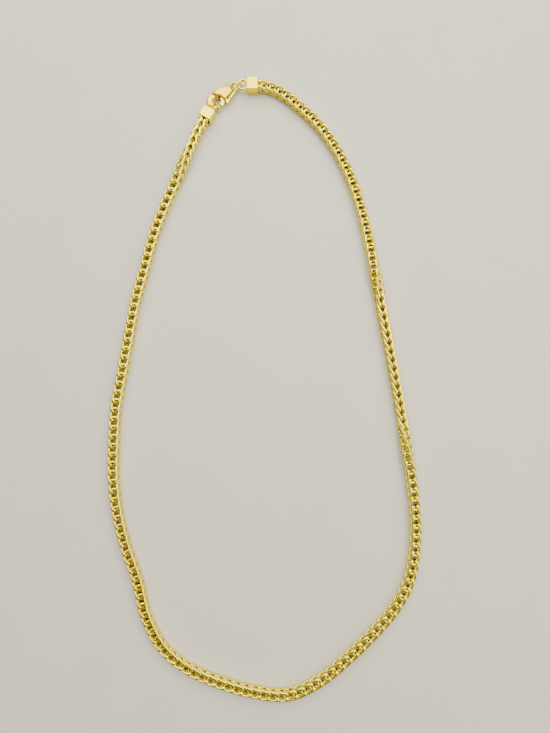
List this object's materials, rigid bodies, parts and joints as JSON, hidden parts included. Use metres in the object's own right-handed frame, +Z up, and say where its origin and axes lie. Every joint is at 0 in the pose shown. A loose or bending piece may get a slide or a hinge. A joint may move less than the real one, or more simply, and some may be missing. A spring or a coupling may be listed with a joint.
{
  "type": "franco chain necklace",
  "caption": "Square franco chain of interlocked folded wire links lying in a closed loop, with box end caps, a jump ring and a lobster clasp whose sprung lever opens.",
  "frame": {"origin": "middle of the loop's box, on the surface that it lies on", "axes": "+Y along the loop's long way, from its round bottom to the clasp; +X to the right; +Z up from the surface"},
  "size_m": [0.1048, 0.21, 0.0045],
  "materials": {
    "chain": "polished yellow gold wire",
    "end_cap": "polished pale gold sheet",
    "jump_ring": "polished yellow gold wire",
    "clasp_body": "polished cast yellow gold",
    "clasp_lever": "polished pale gold",
    "clasp_pin": "peened gold rivet"
  },
  "bodies": {
    "necklace": {"chain_right": "chain", "chain_left": "chain", "end_cap_right": "end_cap", "end_cap_left": "end_cap", "jump_ring": "jump_ring", "clasp_body": "clasp_body", "clasp_pin": "clasp_pin"},
    "lever": {"clasp_lever": "clasp_lever"}
  },
  "joints": [
    {"name": "lever_hinge", "type": "hinge", "parent": "necklace", "child": "lever", "pos_m": [-0.01383, 0.099, 0.00185], "axis": [0, 0, -1], "range_deg": [0, 25], "stiffness_Nm_per_rad": 0.002, "springref_deg": -11.46}
  ]
}
